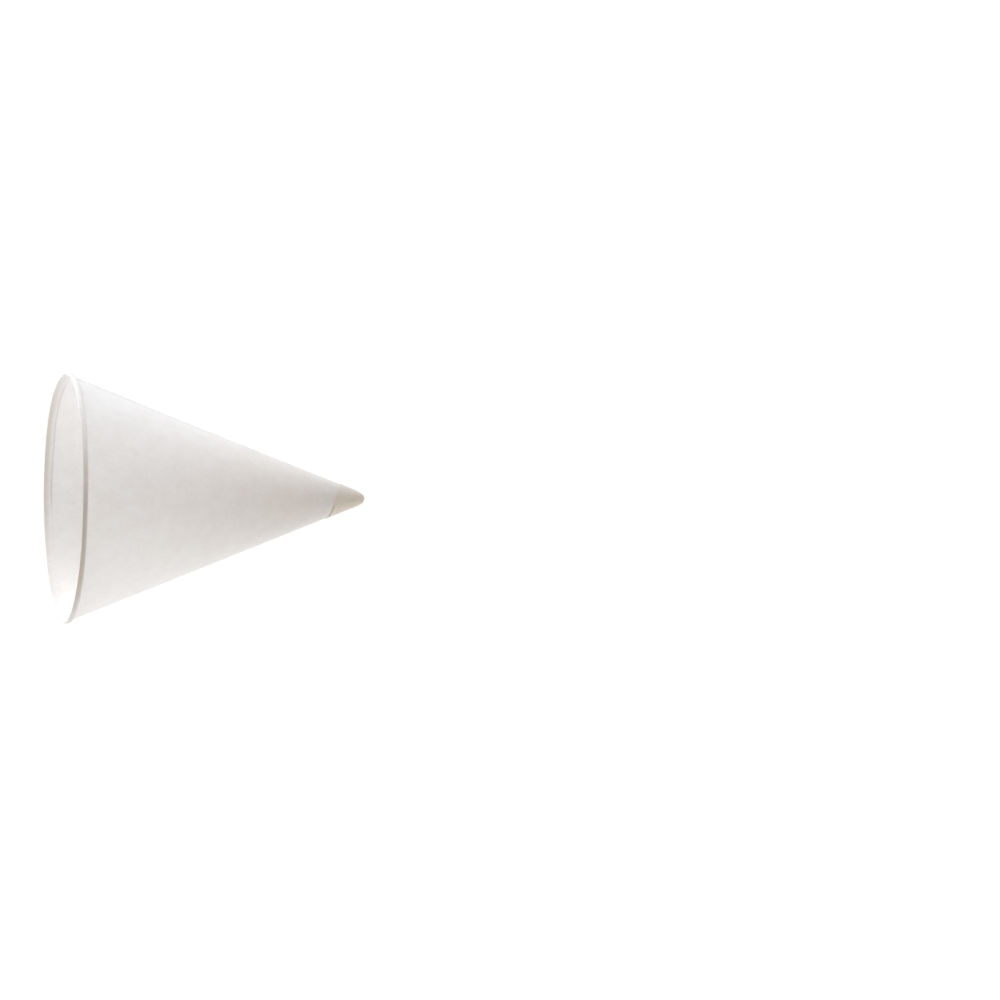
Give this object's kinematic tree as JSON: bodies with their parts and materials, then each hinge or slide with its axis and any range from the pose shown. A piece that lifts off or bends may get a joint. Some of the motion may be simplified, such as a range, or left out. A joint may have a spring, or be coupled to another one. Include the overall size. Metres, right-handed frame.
{
  "type": "cone paper cup",
  "caption": "White cone paper cup wound from one sheet, with a rolled rim and a blunt folded-over tip, standing mouth down.",
  "frame": {"origin": "centre of the mouth, on the plane that the rolled rim stands on", "axes": "+Z along the cup's axis, from the mouth to the tip; the camera's side of the cup is -Y and the flap's short edge crosses it near the tip"},
  "size_m": [0.072, 0.072, 0.0895],
  "materials": {
    "paper_white": "matt uncoated"
  },
  "bodies": {
    "root": {"cone_cup": "paper_white"}
  },
  "joints": []
}
